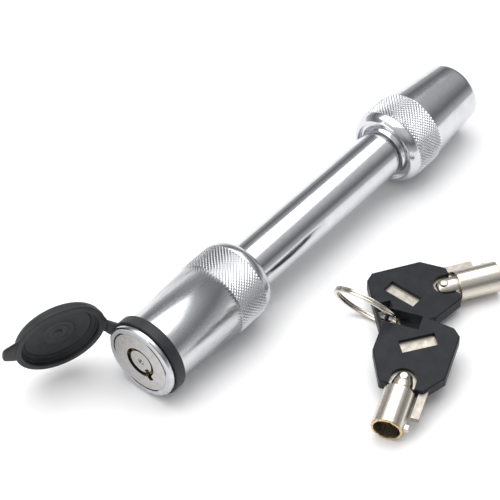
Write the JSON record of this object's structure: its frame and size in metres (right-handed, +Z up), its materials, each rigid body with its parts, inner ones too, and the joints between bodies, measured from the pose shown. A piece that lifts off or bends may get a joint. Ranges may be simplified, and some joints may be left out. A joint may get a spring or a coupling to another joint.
{
  "type": "hitch pin lock",
  "caption": "Locking trailer hitch pin with a plain steel shaft, knurled chromed heads, a tubular lock under a hinged rubber dust cap, and two keys on a split ring",
  "frame": {"origin": "on the pin's axis, halfway between the heads", "axes": "+X along the pin towards the fixed head, the lock's face looks along -X; +Y away from the keys; +Z up as the lock lies"},
  "size_m": [0.1799, 0.1002, 0.0306],
  "materials": {
    "chrome": "polished plating, knurled bands",
    "lock_steel": "turned and lightly polished",
    "brass": "drawn",
    "nickel": "nickel plated, brushed",
    "rubber": "matte moulded",
    "grip_plastic": "fine moulded texture"
  },
  "bodies": {
    "hitch_pin": {"pin_shaft": "chrome", "fixed_head": "chrome", "fixed_head_pin": "lock_steel"},
    "lock_head": {"lock_head_body": "chrome", "lock_case": "lock_steel", "case_set_screw": "lock_steel", "pin_bushing": "brass", "bushing_pin": "lock_steel", "shaft_seal": "rubber", "ball_cage": "lock_steel", "cap_ring": "rubber", "driver_springs": "lock_steel"},
    "plug": {"lock_plug": "lock_steel", "cam_cup": "lock_steel", "cam_screw": "lock_steel"},
    "key_pin_set": {"key_pins": "brass"},
    "driver_set": {"driver_pins": "brass"},
    "ball_1": {"locking_ball_1": "lock_steel"},
    "ball_2": {"locking_ball_2": "lock_steel"},
    "ball_3": {"locking_ball_3": "lock_steel"},
    "cap": {"dust_cap": "rubber"},
    "ring": {"split_ring": "nickel"},
    "front_key": {"front_key_blade": "nickel", "front_key_grip": "grip_plastic", "front_key_rivet": "nickel", "front_key_tube": "nickel"},
    "rear_key": {"rear_key_blade": "nickel", "rear_key_grip": "grip_plastic", "rear_key_rivet": "nickel", "rear_key_tube": "nickel"}
  },
  "joints": [
    {"name": "lock_head_slide", "type": "slide", "parent": "hitch_pin", "child": "lock_head", "axis": [-1, 0, 0], "range_m": [0, 0.15]},
    {"name": "plug_turn", "type": "hinge", "parent": "lock_head", "child": "plug", "pos_m": [-0.0702, 0, 0], "axis": [1, 0, 0], "range_deg": [0, 90]},
    {"name": "key_pin_slide", "type": "slide", "parent": "plug", "child": "key_pin_set", "axis": [-1, 0, 0], "range_m": [0, 0.0012]},
    {"name": "driver_slide", "type": "slide", "parent": "lock_head", "child": "driver_set", "axis": [1, 0, 0], "range_m": [0, 0.0015], "stiffness_N_per_m": 400, "springref_m": -0.002, "deforming": ["driver_springs"]},
    {"name": "cap_hinge", "type": "hinge", "parent": "lock_head", "child": "cap", "pos_m": [-0.0776, 0.01436, 0.00266], "axis": [0, -0.1822, 0.9833], "range_deg": [-50, 113]},
    {"name": "key_set_lift", "type": "slide", "parent": "hitch_pin", "child": "ring", "axis": [0, 0, 1], "range_m": [0, 0.08]},
    {"name": "front_key_swing", "type": "hinge", "parent": "ring", "child": "front_key", "pos_m": [-0.01679, -0.04451, -0.0041], "axis": [-0.0978, -0.0369, 0.9945], "range_deg": [-3, 12]},
    {"name": "rear_key_swing", "type": "hinge", "parent": "ring", "child": "rear_key", "pos_m": [-0.01525, -0.04082, -0.00855], "axis": [-0.0176, 0.0114, 0.9998], "range_deg": [-8, 0]},
    {"name": "ball_1_slide", "type": "slide", "parent": "lock_head", "child": "ball_1", "axis": [0, 1, 0], "range_m": [-0.0012, 0]},
    {"name": "ball_2_slide", "type": "slide", "parent": "lock_head", "child": "ball_2", "axis": [0, -0.5, 0.866], "range_m": [-0.0012, 0]},
    {"name": "ball_3_slide", "type": "slide", "parent": "lock_head", "child": "ball_3", "axis": [0, -0.5, -0.866], "range_m": [-0.0012, 0]}
  ],
  "couplings": [
    {"joint": "ball_1_slide", "follows": "plug_turn", "m_per_rad": -0.00076394},
    {"joint": "ball_2_slide", "follows": "plug_turn", "m_per_rad": -0.00076394},
    {"joint": "ball_3_slide", "follows": "plug_turn", "m_per_rad": -0.00076394}
  ]
}
